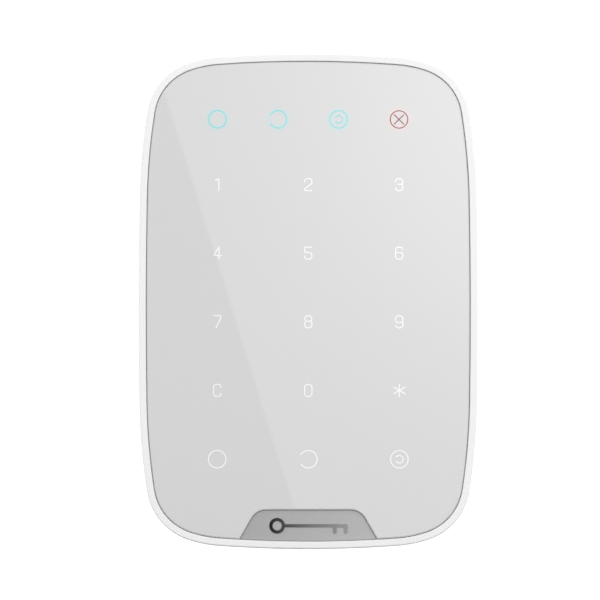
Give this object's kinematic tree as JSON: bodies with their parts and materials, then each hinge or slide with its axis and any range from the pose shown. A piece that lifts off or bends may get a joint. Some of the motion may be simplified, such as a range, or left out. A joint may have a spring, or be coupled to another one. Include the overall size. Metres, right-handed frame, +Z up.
{
  "type": "alarm keypad panel",
  "caption": "Slim wall keypad for a wireless alarm: glossy touch panel in a white case, battery bays, board, and a slide-off wall bracket with tamper plunger and lock screw.",
  "frame": {"origin": "centre of the wall bracket's back face, on the wall, behind the middle of the keypad", "axes": "+Z up, +X to the right as the keypad is read, -Y out of the wall towards the person"},
  "size_m": [0.103, 0.014, 0.1504],
  "materials": {
    "shell": "white moulded ABS, fine satin",
    "bracket": "white moulded ABS, fine texture",
    "panel": "light grey polycarbonate, polished",
    "adhesive": "black foam tape",
    "film": "amber polyester film with printed electrodes",
    "connector": "ivory nylon",
    "baffle": "white moulded, matt",
    "legend": "white light window",
    "diffuser": "milky light window",
    "indicator_blue": "light window lit pale blue",
    "indicator_red": "light window lit red",
    "led": "clear epoxy over phosphor",
    "board": "green solder mask on glass epoxy",
    "chip": "black moulded epoxy",
    "tin": "tin plate",
    "ceramic": "fired ceramic",
    "gasket": "black foam rubber",
    "control": "light grey acetal",
    "spring_wire": "nickel-plated spring steel",
    "cell": "lacquered steel can",
    "screw": "zinc-plated steel",
    "badge": "mid grey, satin gloss",
    "emblem": "dark grey gloss",
    "label": "silver-white polyester label, unprinted"
  },
  "bodies": {
    "wall_bracket": {"wall_bracket": "bracket"},
    "keypad": {"rear_housing": "shell", "front_housing": "shell", "front_panel": "panel", "panel_adhesive": "adhesive", "touch_film": "film", "touch_film_tail": "film", "film_connector": "connector", "light_baffle": "baffle", "key_diffusers": "legend", "indicator_diffusers": "diffuser", "key_leds": "led", "indicator_leds": "led", "main_board": "board", "controller_chip": "chip", "touch_chip": "chip", "radio_module": "board", "radio_shield": "tin", "antenna_upper": "tin", "antenna_lower": "tin", "board_parts": "ceramic", "reservoir_capacitors": "tin", "crystal": "tin", "sounder": "chip", "sounder_gasket": "gasket", "tamper_switch": "chip", "tamper_spring": "spring_wire", "power_switch": "chip", "battery_springs": "spring_wire", "battery_plates": "spring_wire", "battery_cell_1": "cell", "battery_cell_2": "cell", "battery_cell_3": "cell", "battery_cell_4": "cell", "case_screws": "screw", "board_screws": "screw", "badge_plate": "badge", "badge_emblem": "emblem", "rating_label": "label"},
    "tamper_plunger": {"tamper_plunger": "control"},
    "power_button": {"power_button": "control", "power_switch_stem": "control"},
    "lock_screw": {"lock_screw": "screw"}
  },
  "joints": [
    {"name": "keypad_lift", "type": "slide", "parent": "wall_bracket", "child": "keypad", "axis": [0, 0, 1], "range_m": [0, 0.005]},
    {"name": "tamper_release", "type": "slide", "parent": "keypad", "child": "tamper_plunger", "axis": [0, 1, 0], "range_m": [0, 0.0011], "deforming": ["tamper_spring"]},
    {"name": "power_button_press", "type": "slide", "parent": "keypad", "child": "power_button", "axis": [0, -1, 0], "range_m": [0, 0.0005], "stiffness_N_per_m": 600, "springref_m": -0.0005},
    {"name": "lock_screw_withdraw", "type": "slide", "parent": "keypad", "child": "lock_screw", "axis": [0, 0, -1], "range_m": [0, 0.009]}
  ],
  "couplings": [
    {"joint": "tamper_release", "follows": "keypad_lift", "ratio": 0.2}
  ]
}
